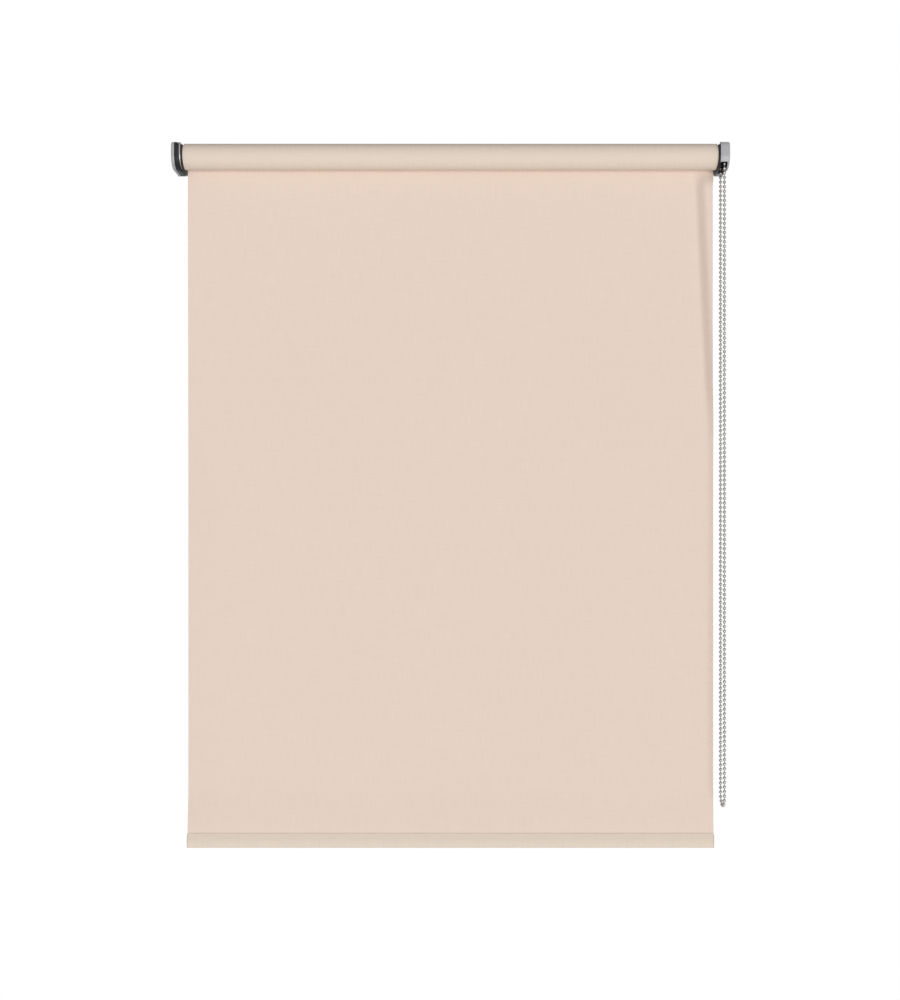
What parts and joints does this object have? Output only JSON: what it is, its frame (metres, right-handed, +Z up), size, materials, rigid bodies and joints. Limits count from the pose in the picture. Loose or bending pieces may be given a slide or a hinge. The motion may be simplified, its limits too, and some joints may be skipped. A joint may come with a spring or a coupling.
{
  "type": "blackout roller blind",
  "caption": "Flat blackout roller blind on end brackets, with a bead chain loop on the right, a sprung idler pin on the left and a weighted hem, fully lowered.",
  "frame": {"origin": "on the wall plane, behind the middle of the roller, at the height of the roller's axis", "axes": "+X along the roller towards the chain side, +Y into the wall, +Z up"},
  "size_m": [0.7284, 0.044, 0.9325],
  "materials": {
    "blackout_fabric": "coated blackout cloth",
    "silver_plastic": "satin silver-grey moulding",
    "black_plastic": "matt moulding",
    "zinc_steel": "zinc plated sheet",
    "tube_aluminium": "plain extrusion",
    "nickel_chain": "nickel plated beads",
    "spring_steel": "drawn wire",
    "grey_plastic": "matt moulding"
  },
  "bodies": {
    "brackets": {"idler_bracket": "zinc_steel", "control_bracket": "zinc_steel", "idler_carrier": "black_plastic", "control_hub": "black_plastic", "idler_cap_frame": "black_plastic", "idler_cap": "silver_plastic", "control_cover": "silver_plastic", "chain_guide": "black_plastic", "chain_on_wheel": "nickel_chain", "chain_loop": "nickel_chain", "fabric_panel": "blackout_fabric"},
    "roller": {"roller_tube": "tube_aluminium", "fabric_spline": "grey_plastic", "fabric_roll": "blackout_fabric", "idler_plug": "black_plastic", "idler_pin_spring": "spring_steel", "chain_wheel": "black_plastic", "drive_crown": "black_plastic", "wrap_spring_inner": "spring_steel", "wrap_spring_outer": "spring_steel", "spring_driver": "grey_plastic", "driver_screw": "zinc_steel"},
    "idler_pin": {"idler_pin": "zinc_steel"},
    "hem": {"hem_pocket": "blackout_fabric", "bottom_bar": "tube_aluminium", "hem_cap_left": "silver_plastic", "hem_cap_right": "silver_plastic"}
  },
  "joints": [
    {"name": "roller_spin", "type": "hinge", "parent": "brackets", "child": "roller", "pos_m": [0, -0.023, 0], "axis": [1, 0, 0], "range_deg": [0, 2670], "deforming": ["chain_on_wheel", "chain_loop"]},
    {"name": "hem_lift", "type": "slide", "parent": "brackets", "child": "hem", "axis": [0, 0, 1], "range_m": [0, 0.865], "deforming": ["fabric_panel"]},
    {"name": "pin_press", "type": "slide", "parent": "roller", "child": "idler_pin", "axis": [1, 0, 0], "range_m": [0, 0.006], "stiffness_N_per_m": 300, "springref_m": -0.004, "deforming": ["idler_pin_spring"]}
  ],
  "couplings": [
    {"joint": "hem_lift", "follows": "roller_spin", "m_per_rad": 0.0185}
  ]
}
